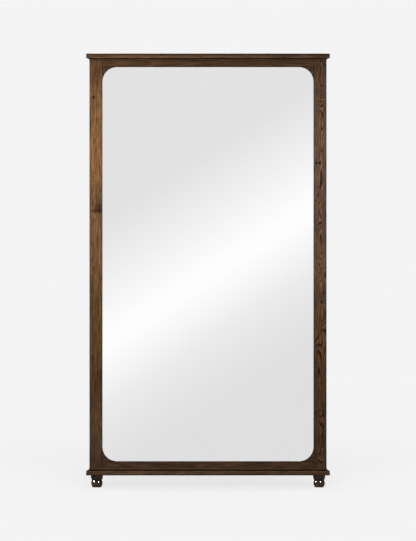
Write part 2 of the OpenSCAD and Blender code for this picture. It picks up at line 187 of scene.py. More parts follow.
def applyModifier(piece, kind, settings):
    modifier = piece.modifiers.new(kind.lower(), kind)
    for key, value in settings.items():
        setattr(modifier, key, value)
    selectOnly(piece)
    bpy.ops.object.modifier_apply(modifier=modifier.name)


# Cuts a closed shape out of a piece and throws the shape away
def carve(piece, cutter):
    applyModifier(piece, "BOOLEAN", {"operation": "DIFFERENCE", "solver": "EXACT", "object": cutter})
    bpy.data.objects.remove(cutter)


# Hand work and age: the faces sink in slow waves and the arrises are rubbed down in nicks, never outwards
def wearBoard(piece, look, low, high):
    arris = piece.vertex_groups.new(name="arris")
    reach = look["ease"] * 1.05     # just past the rounding
    near = [v.index for v in piece.data.vertices
            if sum(min(v.co[i] - low[i], high[i] - v.co[i]) < reach for i in range(3)) >= 2]
    arris.add(near, 1.0, "REPLACE")
    gentle, sharp = 1.0, 2.5
    for name, size, depth, contrast, group in (
            ("waves", look["waveSize"], look["waveDepth"], gentle, ""),
            ("nicks", look["nickSize"], look["nickDepth"], sharp, "arris")):
        cloud = bpy.data.textures.new(piece.name + " " + name, "CLOUDS")
        cloud.noise_scale = size
        cloud.contrast = contrast
        cloud.use_clamp = True
        applyModifier(piece, "DISPLACE", {
            "texture": cloud, "texture_coords": "LOCAL", "direction": "NORMAL", "mid_level": 0.0,
            "strength": -depth, "vertex_group": group})


# Smooths a finished piece, gives it and the CAD node it stands for its finish, hides that node, and gives the
# piece its body and its lights
def finishPiece(piece, node, material, sharp=35):
    paint(node, material)
    selectOnly(piece)
    bpy.ops.object.shade_smooth_by_angle(angle=math.radians(sharp))
    piece.data.materials.clear()
    piece.data.materials.append(material)
    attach(piece, "frame")
    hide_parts(node)
    litPieces.objects.link(piece)
    print(" ", piece.name, "made:", len(piece.data.polygons), "faces")


# Camera, light and floor

boundsLow, boundsHigh = cadBounds
centreHeight = (boundsLow[2] + boundsHigh[2]) / 2

# The camera looks level at the middle of the mirror, from so far back that its lines stay parallel
cameraLook = {"distance": 30.0, "viewHeight": 2.480, "sensor": 24}
bpy.ops.object.camera_add(
    location=(0, boundsLow[1] - cameraLook["distance"], centreHeight), rotation=(math.pi / 2, 0, 0))
camera = bpy.context.object
camera.data.sensor_width = cameraLook["sensor"]
camera.data.lens = cameraLook["sensor"] * cameraLook["distance"] / cameraLook["viewHeight"]
camera.data.clip_end = 100
bpy.context.scene.camera = camera
bpy.context.scene.view_settings.view_transform = "Standard"

# A white room: what the camera sees of it, what glossy things mirror, and the fill that lights everything.
# Glossy things mirror a bright room in front and a dim one behind, which keeps rounded edges dark.
roomLook = {"backdrop": "#f4f4f4", "front": "#cccccc", "behind": "#858585", "fill": 0.50}
world = bpy.data.worlds.new("studio")
bpy.context.scene.world = world
world.use_nodes = True
tree = world.node_tree
tree.nodes.clear()
ray = addNode(tree, "LightPath")
towards = addNode(tree, "SeparateXYZ", {}, {0: addNode(tree, "TexCoord").outputs["Generated"]})
front = addNode(tree, "MapRange", {"interpolation_type": "SMOOTHSTEP"}, {
    "Value": towards.outputs["Y"], "From Min": 0.5, "From Max": -0.1})
mirrored = addNode(tree, "Mix", {"data_type": "RGBA"}, {
    "Factor": front, "A": linearColour(roomLook["behind"]), "B": linearColour(roomLook["front"])})
lighting = addNode(tree, "Mix", {"data_type": "RGBA"}, {
    "Factor": ray.outputs["Is Glossy Ray"], "A": [roomLook["fill"]] * 3 + [1], "B": mirrored})
seen = addNode(tree, "Mix", {"data_type": "RGBA"}, {
    "Factor": ray.outputs["Is Camera Ray"], "A": lighting, "B": linearColour(roomLook["backdrop"])})
glow = addNode(tree, "Background", {}, {"Color": seen})
addNode(tree, "OutputWorld", {}, {"Surface": glow})

# The floor glows a little, so that it ends up as white as the room and its shadows stay soft
floorLook = {"size": 60, "reflects": 0.25, "lamps": 0.162}
bpy.ops.mesh.primitive_plane_add(size=floorLook["size"], location=(0, 0, boundsLow[2]))
floor = bpy.context.object
floor.name = "floor"
floorMaterial, tree, shader = newMaterial("pale matt studio floor")
shader.inputs["Base Color"].default_value = [floorLook["reflects"]] * 3 + [1]
shader.inputs["Roughness"].default_value = 1.0
shader.inputs["Specular IOR Level"].default_value = 0.0
shader.inputs["Emission Color"].default_value = [1, 1, 1, 1]
shader.inputs["Emission Strength"].default_value = (
    linearColour(roomLook["backdrop"])[0] - roomLook["fill"] * floorLook["reflects"] - floorLook["lamps"])
floor.data.materials.append(floorMaterial)
floor.visible_glossy = False
floor.visible_diffuse = False

# Softboxes light the pieces only, so the floor stays even. The two sparkle lamps only show as the small bright
# spots on the glossy feet.
litPieces = bpy.data.collections.new("lit by the softboxes")
litFeet = bpy.data.collections.new("lit by the sparkle lamps")
softboxes = [
    {"name": "softboxLeft", "at": (-4.9, -1.8, 2.9), "aim": (0, 0, 0.7), "size": (1.4, 1.4), "watts": 110},
    {"name": "softboxRight", "at": (3.3, -4.3, 2.6), "aim": (0, 0, 0.7), "size": (1.0, 1.0), "watts": 28},
    {"name": "softboxTop", "at": (-1.4, -3.2, 4.6), "aim": (0, 0, 1.1), "size": (3.0, 2.0), "watts": 130,
     "shine": False},
    {"name": "softboxBack", "at": (2.4, 3.6, 3.6), "aim": (0, 0, 1.0), "size": (2.0, 2.0), "watts": 110},
    {"name": "sparkleLeft", "at": (-4.5, -1.65, 2.65), "aim": (0, 0, 0), "size": (0.7, 0.7), "watts": 2200,
     "sparkle": True},
    {"name": "sparkleRight", "at": (3.0, -3.9, 2.3), "aim": (0, 0, 0), "size": (0.7, 0.7), "watts": 5000,
     "sparkle": True},
]
for look in softboxes:
    direction = Vector(look["aim"]) - Vector(look["at"])
    bpy.ops.object.light_add(
        type="AREA", location=look["at"], rotation=direction.to_track_quat("-Z", "Y").to_euler())
    lamp = bpy.context.object
    lamp.name = look["name"]
    lamp.data.shape = "RECTANGLE"
    lamp.data.size, lamp.data.size_y = look["size"]
    lamp.data.energy = look["watts"]
    lamp.visible_glossy = look.get("shine", True)
    lamp.visible_diffuse = not look.get("sparkle", False)
    lamp.light_linking.receiver_collection = litFeet if look.get("sparkle") else litPieces

# Two lamps for the floor alone. The low one in front throws the frame's soft shadow back, where it shows under
# the base, with some light slipping beneath. The one high behind throws a short shadow forward.
floorLamps = [
    {"name": "floorLampFront", "height": 14, "softness": 24, "strength": 5.56},
    {"name": "floorLampBehind", "height": 102, "softness": 24, "strength": 0.71},
]
onlyFloor = bpy.data.collections.new("lit by the floor lamps")
onlyFloor.objects.link(floor)
for look in floorLamps:
    bpy.ops.object.light_add(type="SUN", rotation=(math.radians(90 - look["height"]), 0, 0))
    lamp = bpy.context.object
    lamp.name = look["name"]
    lamp.data.energy = look["strength"]
    lamp.data.angle = math.radians(look["softness"])
    lamp.light_linking.receiver_collection = onlyFloor

# Only glossy things see this card. It draws the soft bright band that runs up across the glass.
# steps: how far across the band, in metres at the mirror, and the grey there
cardLook = {"behind": 9.0, "width": 3.2, "height": 4.4, "lean": 32.9, "glow": 1.047, "steps": [
    (-0.445, "#e2e2e2"), (-0.23, "#efefef"), (-0.01, "#fdfdfd"), (0.05, "#fdfdfd"), (0.18, "#f3f3f3"),
    (0.27, "#ebebeb"), (0.37, "#e6e6e6"), (0.46, "#e2e2e2"), (0.575, "#dfdfdf")]}
spread = 1 + cardLook["behind"] / cameraLook["distance"]
bpy.ops.mesh.primitive_plane_add(
    size=1, location=(0, -cardLook["behind"], centreHeight), rotation=(math.pi / 2, 0, 0))
card = bpy.context.object
card.name = "bandCard"
card.scale = (cardLook["width"], cardLook["height"], 1)
bpy.ops.object.transform_apply(location=False, rotation=True, scale=True)
cardMaterial, tree, shader = newMaterial("glowing card")
tree.nodes.remove(shader)
place = addNode(tree, "TexCoord")
turned = addNode(tree, "VectorRotate", {"rotation_type": "Y_AXIS"}, {
    "Vector": place.outputs["Object"], "Angle": math.radians(cardLook["lean"])})
split = addNode(tree, "SeparateXYZ", {}, {0: turned})
first, last = cardLook["steps"][0][0], cardLook["steps"][-1][0]
share = addNode(tree, "MapRange", {}, {
    "Value": split.outputs["Z"], "From Min": -first * spread, "From Max": -last * spread})
band = setRamp(addNode(tree, "ValToRGB", {}, {0: share}), [
    ((place - first) / (last - first), grey) for place, grey in cardLook["steps"]])
glowing = addNode(tree, "Emission", {}, {"Color": band, "Strength": cardLook["glow"]})
tree.links.new(glowing.outputs[0], tree.nodes["Material Output"].inputs["Surface"])
card.data.materials.append(cardMaterial)
card.visible_camera = card.visible_diffuse = card.visible_shadow = card.visible_transmission = False
print("camera, lights and floor set")


# Finishes

# Boards: growth rings round a pith behind the face, fibres that part round knots, pores filled with dark stain,
# a tone along the board that is partly the stain's drift and partly painted light, painted light and shade
# across it, and arrises darkened with painted shade, all under satin lacquer
def woodMaterial(name, look):
    material, tree, shader = newMaterial(name)
    low, high = look["box"]
    sideAxis, depthAxis, lengthAxis = {"X": "ZYX", "Z": "XYZ"}[look["along"]]
    ends = {axis: (low[i], high[i]) for i, axis in enumerate("XYZ")}
    place = addNode(tree, "TexCoord")
    split = addNode(tree, "SeparateXYZ", {}, {0: place.outputs["Object"]})
    side = addNode(tree, "Math", {"operation": "SUBTRACT"}, {
        0: split.outputs[sideAxis], 1: sum(ends[sideAxis]) / 2})
    depth = addNode(tree, "Math", {"operation": "SUBTRACT"}, {
        0: split.outputs[depthAxis], 1: ends[depthAxis][0]})
    length = addNode(tree, "Math", {"operation": "SUBTRACT"}, {
        0: split.outputs[lengthAxis], 1: ends[lengthAxis][0]})

    # the trunk's slow bends, to the side and in depth
    drawn = addNode(tree, "Math", {"operation": "MULTIPLY"}, {0: length, 1: look["stretch"]})
    slow = addNode(tree, "CombineXYZ", {}, {0: side, 1: depth, 2: drawn})
    bends = addNode(tree, "TexNoise", {"noise_dimensions": "4D"}, {
        "Vector": slow, "Scale": look["bendScale"], "Detail": look["bendDetail"], "Roughness": 0.5,
        "W": look["seed"]})
    bend = addNode(tree, "SeparateColor", {}, {0: bends.outputs["Color"]})
    bendSide = addNode(tree, "MapRange", {"clamp": False}, {
        **noiseRange, "Value": bend.outputs["Red"], "To Min": -look["bendSide"], "To Max": look["bendSide"]})
    bendDepth = addNode(tree, "MapRange", {"clamp": False}, {
        **noiseRange, "Value": bend.outputs["Green"], "To Min": -look["bendDepth"], "To Max": look["bendDepth"]})
    across = addNode(tree, "Math", {"operation": "ADD"}, {0: side, 1: bendSide})
    inward = addNode(tree, "Math", {"operation": "ADD"}, {0: depth, 1: bendDepth})
    knotDark = None

    # each knot pushes the rings aside and is dark at its middle
    for knot in look["knots"]:
        fromKnot = addNode(tree, "CombineXYZ", {}, {
            0: addNode(tree, "Math", {"operation": "SUBTRACT"}, {0: side, 1: knot["side"]}),
            1: addNode(tree, "Math", {"operation": "MULTIPLY_ADD"}, {
                0: length, 1: 1 / knot["long"], 2: -knot["along"] / knot["long"]})})
        reach = addNode(tree, "VectorMath", {"operation": "LENGTH"}, {0: fromKnot}).outputs["Value"]
        push = addNode(tree, "MapRange", {"interpolation_type": "SMOOTHSTEP"}, {
            "Value": reach, "From Max": knot["r"] * 4, "To Min": knot["push"], "To Max": 0.0})
        inward = addNode(tree, "Math", {"operation": "ADD"}, {0: inward, 1: push})
        dark = addNode(tree, "MapRange", {"interpolation_type": "SMOOTHSTEP"}, {
            "Value": reach, "From Min": knot["r"] * 0.4, "From Max": knot["r"] * 1.4,
            "To Min": knot["dark"], "To Max": 0.0})
        knotDark = dark if knotDark is None else addNode(
            tree, "Math", {"operation": "MAXIMUM"}, {0: knotDark, 1: dark})

    # growth rings about the pith
    fromPith = addNode(tree, "CombineXYZ", {}, {
        0: addNode(tree, "Math", {"operation": "SUBTRACT"}, {0: across, 1: look["pith"][0]}),
        1: addNode(tree, "Math", {"operation": "MULTIPLY_ADD"}, {
            0: length, 1: -look["lean"], 2: addNode(
                tree, "Math", {"operation": "SUBTRACT"}, {0: inward, 1: look["pith"][1]})})})
    radius = addNode(tree, "VectorMath", {"operation": "LENGTH"}, {0: fromPith}).outputs["Value"]
    years = addNode(tree, "TexNoise", {"noise_dimensions": "1D"}, {
        "W": radius, "Scale": look["yearScale"], "Detail": 2.0})
    ringCount = addNode(tree, "Math", {"operation": "DIVIDE"}, {0: radius, 1: look["ring"]})
    ringCount = addNode(tree, "Math", {"operation": "MULTIPLY_ADD"}, {
        0: years, 1: look["yearDrift"], 2: ringCount})
    ring = addNode(tree, "Math", {"operation": "FRACT"}, {0: ringCount})
    ringDark = setRamp(addNode(tree, "ValToRGB", {}, {0: ring}), [
        (0.0, 0.0), (0.42, 0.1), (0.74, 1.0), (0.9, 0.75), (1.0, 0.0)])

    # fibres, the coarser streaks of stain between them, and pores
    thread = addNode(tree, "CombineXYZ", {}, {0: across, 1: inward, 2: addNode(
        tree, "Math", {"operation": "MULTIPLY"}, {0: length, 1: look["fibreStretch"]})})
    fibres = addNode(tree, "TexNoise", {}, {
        "Vector": thread, "Scale": 1 / look["fibre"], "Detail": 4.0, "Roughness": 0.65})
    streakSpace = addNode(tree, "CombineXYZ", {}, {0: across, 1: inward, 2: addNode(
        tree, "Math", {"operation": "MULTIPLY"}, {0: length, 1: look["streakStretch"]})})
    streaks = addNode(tree, "TexNoise", {"noise_dimensions": "4D"}, {
        "Vector": streakSpace, "Scale": 1 / look["streak"], "Detail": 3.0, "Roughness": 0.6,
        "W": look["seed"] + 3})
    flecks = addNode(tree, "TexNoise", {"noise_dimensions": "4D"}, {
        "Vector": streakSpace, "Scale": look["fleckShare"] / look["streak"], "Detail": 2.0, "Roughness": 0.5,
        "W": look["seed"] + 5})
    fleck = addNode(tree, "MapRange", {}, {
        "Value": flecks, "From Min": look["fleckRange"][0], "From Max": look["fleckRange"][1]})
    patches = addNode(tree, "TexNoise", {"noise_dimensions": "4D"}, {
        "Vector": slow, "Scale": look["patch"], "Detail": 3.0, "Roughness": 0.55, "W": look["seed"] + 7})

    # the tone along the board, partly the stain's own and partly painted light, darkened and lightened by all of
    # these
    span = ends[lengthAxis][1] - ends[lengthAxis][0]
    share = addNode(tree, "Math", {"operation": "DIVIDE"}, {0: length, 1: span})
    tone = setRamp(addNode(tree, "ValToRGB", {}, {0: share}), look["tones"])
    shade = addNode(tree, "MapRange", {}, {
        "Value": ringDark, "To Min": 1.0 + look["ringDepth"] * 0.7, "To Max": 1.0 - look["ringDepth"]})
    for noise, strength in (
            (fibres, look["fibreDepth"]), (streaks, look["streakDepth"]), (patches, look["patchDepth"])):
        part = addNode(tree, "MapRange", {"clamp": False}, {
            **noiseRange, "Value": noise, "To Min": 1.0 - strength, "To Max": 1.0 + strength})
        shade = addNode(tree, "Math", {"operation": "MULTIPLY"}, {0: shade, 1: part})
    pores = addNode(tree, "MapRange", {}, {"Value": fleck, "To Min": 1.0, "To Max": 1.0 - look["fleckDepth"]})
    shade = addNode(tree, "Math", {"operation": "MULTIPLY"}, {0: shade, 1: pores})
    half = (ends[sideAxis][1] - ends[sideAxis][0]) / 2
    # painted light and shade across the board, from the lower or left side to the other
    paintedLight = addNode(tree, "MapRange", {"interpolation_type": look["paintedLightKind"]}, {
        "Value": side, "From Min": -half, "From Max": half,
        "To Min": look["paintedLight"][0], "To Max": look["paintedLight"][1]})
    shade = addNode(tree, "Math", {"operation": "MULTIPLY"}, {0: shade, 1: paintedLight})
    colour = addNode(tree, "VectorMath", {"operation": "SCALE"}, {0: tone, "Scale": shade})
    warm = addNode(tree, "MapRange", {}, {
        "Value": patches, "From Min": 0.5, "From Max": 0.75, "To Max": look["warm"]})
    colour = addNode(tree, "Mix", {"data_type": "RGBA", "blend_type": "MULTIPLY"}, {
        "Factor": warm, "A": colour, "B": linearColour(look["warmColour"])})
    if knotDark is not None:
        knotDark = addNode(tree, "Math", {"operation": "MULTIPLY", "use_clamp": True}, {
            0: knotDark, 1: addNode(tree, "MapRange", {"clamp": False}, {
                **noiseRange, "Value": streaks, "To Min": 1.15, "To Max": 0.75})})
        colour = addNode(tree, "Mix", {"data_type": "RGBA"}, {
            "Factor": knotDark, "A": colour, "B": linearColour(look["knotColour"])})

    # arrises: how far a point is from the nearest long edge of the board
    if look["arc"]:
        # a corner block gets painted shade along its arc only and blends into its neighbours elsewhere
        centreX, centreZ, arcRadius = look["arc"]
        spoke = addNode(tree, "CombineXYZ", {}, {
            0: addNode(tree, "Math", {"operation": "SUBTRACT"}, {0: split.outputs["X"], 1: centreX}),
            1: addNode(tree, "Math", {"operation": "SUBTRACT"}, {0: split.outputs["Z"], 1: centreZ})})
        spokeLength = addNode(tree, "VectorMath", {"operation": "LENGTH"}, {0: spoke}).outputs["Value"]
        fromArris = addNode(tree, "Math", {"operation": "SUBTRACT"}, {0: spokeLength, 1: arcRadius})
    else:
        deep = ends[depthAxis][1] - ends[depthAxis][0]
        if look["edge"] == 0:
            outward = addNode(tree, "Math", {"operation": "ABSOLUTE"}, {0: side})
        else:
            outward = addNode(tree, "Math", {"operation": "MULTIPLY"}, {0: side, 1: look["edge"]})
        fromSide = addNode(tree, "Math", {"operation": "SUBTRACT"}, {0: half, 1: outward})
        fromFace = addNode(tree, "Math", {"operation": "SUBTRACT"}, {
            0: deep / 2, 1: addNode(tree, "Math", {"operation": "ABSOLUTE"}, {
                0: addNode(tree, "Math", {"operation": "SUBTRACT"}, {0: depth, 1: deep / 2})})})
        fromArris = addNode(tree, "Math", {"operation": "MAXIMUM"}, {0: fromSide, 1: fromFace})
    if look["darkEnds"]:
        fromMiddle = addNode(tree, "Math", {"operation": "ABSOLUTE"}, {
            0: addNode(tree, "Math", {"operation": "SUBTRACT"}, {0: length, 1: span / 2})})
        fromEnd = addNode(tree, "Math", {"operation": "SUBTRACT"}, {0: span / 2, 1: fromMiddle})
        fromArris = addNode(tree, "Math", {"operation": "MINIMUM"}, {0: fromArris, 1: fromEnd})
    # the arrises, and the ends where asked, darken with painted shade, ragged along the streaks
    ragged = addNode(tree, "Math", {"operation": "MULTIPLY_ADD"}, {
        0: streaks, 1: -look["ragged"] * look["arris"], 2: fromArris})
    edgeShade = addNode(tree, "MapRange", {"interpolation_type": "SMOOTHSTEP"}, {
        "Value": ragged, "From Min": -look["fade"] * look["arris"], "From Max": 0.0,
        "To Min": look["arrisShade"], "To Max": 0.0})
    colour = addNode(tree, "Mix", {"data_type": "RGBA"}, {
        "Factor": edgeShade, "A": colour, "B": linearColour(look["arrisShadeColour"])})
    feed(tree, colour, shader, "Base Color")

    rough = addNode(tree, "MapRange", {"clamp": False}, {
        **noiseRange, "Value": streaks, "To Min": look["rough"] * 1.16, "To Max": look["rough"] * 0.88})
    feed(tree, rough, shader, "Roughness")
    shader.inputs["IOR"].default_value = 1.5
    shader.inputs["Specular IOR Level"].default_value = look["shine"]
    # late wood and pores lie lower than the fibres
    relief = addNode(tree, "Math", {"operation": "MULTIPLY_ADD"}, {0: ringDark, 1: -0.6, 2: fibres})
    relief = addNode(tree, "Math", {"operation": "MULTIPLY_ADD"}, {0: fleck, 1: -0.8, 2: relief})
    bump = addNode(tree, "Bump", {}, {"Height": relief, "Distance": look["relief"], "Strength": 0.7})
    feed(tree, bump, shader, "Normal")
    return material


# What the stained oak boards share. Rings are a real width. Fibres and streaks of stain are drawn coarser than
# life, at 2.2 mm and 5.5 to 8 mm, so that they show. A stretch below 1 draws a pattern out along the board.
oakLook = {
    "along": "X", "pith": (0.010, 0.075), "lean": 0.012, "ring": 3.2 * mm, "ringDepth": 0.40,
    "yearScale": 70.0, "yearDrift": 3.0,        # how the rings' widths change from year to year
    "stretch": 0.14, "bendScale": 11.0, "bendSide": 7 * mm, "bendDepth": 6 * mm, "bendDetail": 3.0,
    "fibre": 2.2 * mm, "fibreStretch": 0.03, "fibreDepth": 0.30,
    "streak": 8 * mm, "streakStretch": 0.10, "streakDepth": 0.55,
    "fleckShare": 2.3, "fleckRange": (0.60, 0.70), "fleckDepth": 0.55,
    "patch": 22.0, "patchDepth": 0.18, "warm": 0.35, "warmColour": "#ffd2a0",
    "knots": [], "knotColour": "#140d08",
    "edge": 0, "darkEnds": False, "arc": None,  # which arrises get painted shade: 0 both, 1 upper, -1 lower
    "arris": 3.0 * mm, "arrisShade": 0.9, "arrisShadeColour": "#150d08", "ragged": 3.0, "fade": 1.6,
    "paintedLight": (1.0, 1.0), "paintedLightKind": "LINEAR",   # painted light: brightness at the lower or left side and at the other
    "rough": 0.50, "shine": 0.08, "relief": 0.3 * mm,
}


# Stiles

# ease is how far the arrises are rounded. glassRoom and panelRoom are left free in the rebates.
# nailHoles: across, height, radius and depth.
stileLook = {
    "ease": 1.2 * mm, "step": 5 * mm, "frontCuts": 7, "sideCuts": 5, "glassRoom": 2 * mm, "panelRoom": 1 * mm,
    "waveSize": 0.09, "waveDepth": 0.3 * mm, "nickSize": 0.014, "nickDepth": 0.8 * mm,
    "housingGap": 0.2 * mm, "pastBack": 10 * mm,
    "nailHoles": [(-0.525, 1.790, 3.4 * mm, 5 * mm), (-0.5365, 1.786, 1.6 * mm, 3 * mm)],
}
stileLow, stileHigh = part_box("left_stile")
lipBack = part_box("glazing_tape")[0][1]
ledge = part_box("safety_film")[1][1]
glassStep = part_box("mirror_glass")[0][0] - stileLook["glassRoom"]
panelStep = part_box("back_panel")[0][0] - stileLook["panelRoom"]

stile = startBlock("leftStile", stileLow, (panelStep, stileHigh[1], stileHigh[2]))
cutAt(1, [lipBack, ledge])
pickFaces(stile, lambda at, normal: normal.x > 0.9 and at.y < ledge)
bpy.ops.mesh.extrude_region_move(TRANSFORM_OT_translate={"value": (glassStep - panelStep, 0, 0)})
pickFaces(stile, lambda at, normal: normal.x > 0.9 and at.y < lipBack)
bpy.ops.mesh.extrude_region_move(TRANSFORM_OT_translate={"value": (stileHigh[0] - glassStep, 0, 0)})


# The stile's long arrises, apart from those of its rebates
def onOuterArris(a, b):
    outer = bothAt(a, b, 0, stileLow[0])
    inner = bothAt(a, b, 0, stileHigh[0])
    front = bothAt(a, b, 1, stileLow[1])
    back = bothAt(a, b, 1, stileHigh[1])
    return runsAlong(a, b, 2) and ((front and (outer or inner)) or (back and outer))


pickEdges(stile, onOuterArris)
bpy.ops.mesh.bevel(offset=stileLook["ease"], segments=3, affect="EDGES")
cutAt(0, between(stileLow[0] + stileLook["ease"], stileHigh[0] - stileLook["ease"], stileLook["frontCuts"]))
cutAt(1, between(stileLow[1] + stileLook["ease"], stileHigh[1] - stileLook["ease"], stileLook["sideCuts"]))
pickEdges(stile, lambda a, b: runsAlong(a, b, 2))
bpy.ops.mesh.subdivide(number_cuts=round((stileHigh[2] - stileLow[2]) / stileLook["step"]))
bpy.ops.object.mode_set(mode="OBJECT")

# the right stile is the left one's mirror image
rightStile = stile.copy()
rightStile.data = stile.data.copy()
rightStile.name = "rightStile"
bpy.context.collection.objects.link(rightStile)
rightStile.scale = (-1, 1, 1)
selectOnly(rightStile)
bpy.ops.object.transform_apply(location=False, rotation=False, scale=True)
bpy.ops.object.mode_set(mode="EDIT")
bpy.ops.mesh.select_all(action="SELECT")
bpy.ops.mesh.normals_make_consistent(inside=False)
bpy.ops.object.mode_set(mode="OBJECT")

# housings for the battens in both stiles, and old nail holes in the left one
for piece in (stile, rightStile):
    for batten in ("upper_batten", "lower_batten"):
        low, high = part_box(batten)
        gap = stileLook["housingGap"]
        housing = startBlock(
            "housing", (low[0], low[1] - gap, low[2] - gap),
            (high[0], high[1] + stileLook["pastBack"], high[2] + gap))
        bpy.ops.object.mode_set(mode="OBJECT")
        carve(piece, housing)
for x, z, radius, depth in stileLook["nailHoles"]:
    bpy.ops.mesh.primitive_cone_add(
        vertices=20, radius1=radius, radius2=radius * 0.5, depth=2 * depth,
        location=(x, stileLow[1], z), rotation=(-math.pi / 2, 0, 0))
    carve(stile, bpy.context.object)

# tones run up the stile, partly the stain's own and partly painted light: brightest in their upper part, and the
# left stile brighter than the right. A knot sits at side, from the middle, and along, from the bottom. Its long
# above 1 draws it out along the stile and below 1 flattens it, and it pushes the rings in by push.
stileWoods = {
    "leftStile": {"along": "Z", "seed": 1.0, "pith": (-0.085, 0.045), "ring": 4.0 * mm, "ringDepth": 0.26,
        "streak": 5.5 * mm, "streakDepth": 0.58, "fleckDepth": 0.4, "tones": [
            (0.00, "#423025"), (0.10, "#523c28"), (0.21, "#4b3421"), (0.32, "#573d24"), (0.42, "#60442a"),
            (0.52, "#6d5036"), (0.62, "#785839"), (0.75, "#7c5a3a"), (0.87, "#7a5836"), (0.93, "#6b4b30"),
            (1.00, "#543a25")],
        "knots": [
            {"side": 0.004, "along": 1.194, "r": 34 * mm, "long": 0.30, "push": 3 * mm, "dark": 0.72},
            {"side": 0.014, "along": 1.212, "r": 26 * mm, "long": 0.60, "push": 3 * mm, "dark": 0.50},
            {"side": 0.000, "along": 1.240, "r": 30 * mm, "long": 1.0, "push": 2 * mm, "dark": 0.24},
            {"side": -0.011, "along": 1.714, "r": 6 * mm, "long": 1.5, "push": 3 * mm, "dark": 0.95},
            {"side": -0.028, "along": 1.600, "r": 4.5 * mm, "long": 22, "push": 0.0, "dark": 0.75},
            {"side": -0.010, "along": 1.365, "r": 3 * mm, "long": 2.0, "push": 2 * mm, "dark": 0.7},
            {"side": -0.017, "along": 0.520, "r": 3 * mm, "long": 4.0, "push": 2 * mm, "dark": 0.7}]},
    "rightStile": {"along": "Z", "seed": 3.0, "pith": (0.004, 0.052), "lean": -0.014, "ring": 2.3 * mm,
        "ringDepth": 0.84, "bendDepth": 16 * mm, "bendSide": 3 * mm, "bendDetail": 2.0, "stretch": 0.24,
        "streak": 6 * mm, "streakDepth": 0.5, "tones": [
            (0.00, "#3e2b1f"), (0.10, "#432f1d"), (0.20, "#442f1e"), (0.30, "#4a3320"), (0.38, "#513b28"),
            (0.45, "#563f2d"), (0.51, "#5f4734"), (0.60, "#584233"), (0.70, "#604839"), (0.81, "#604938"),
            (0.87, "#554131"), (0.93, "#513c2c"), (1.00, "#432f22")],
        "knots": [
            {"side": 0.008, "along": 0.775, "r": 7 * mm, "long": 1.3, "push": 14 * mm, "dark": 0.85},
            {"side": -0.010, "along": 1.265, "r": 7 * mm, "long": 1.3, "push": 14 * mm, "dark": 0.6},
            {"side": -0.017, "along": 1.412, "r": 6 * mm, "long": 1.3, "push": 8 * mm, "dark": 0.9},
            {"side": 0.024, "along": 0.700, "r": 8 * mm, "long": 2.2, "push": 4 * mm, "dark": 0.6},
            {"side": 0.026, "along": 0.266, "r": 4 * mm, "long": 1.6, "push": 2 * mm, "dark": 0.95}]},
}
for piece, node in ((stile, "left_stile"), (rightStile, "right_stile")):
    low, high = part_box(node)
    wearBoard(piece, stileLook, low, high)
    finishPiece(piece, node, woodMaterial(
        "stained oak stile, satin lacquer, " + piece.name,
        {**oakLook, "box": (low, high), **stileWoods[piece.name]}))
print("stiles made")


# Rails

railLook = {"ease": 1.0 * mm, "step": 5 * mm, "heightCuts": 5, "tenonShoulder": 3 * mm, "arc": 65 * mm,
            "waveSize": 0.09, "waveDepth": 0.3 * mm, "nickSize": 0.014, "nickDepth": 0.6 * mm}
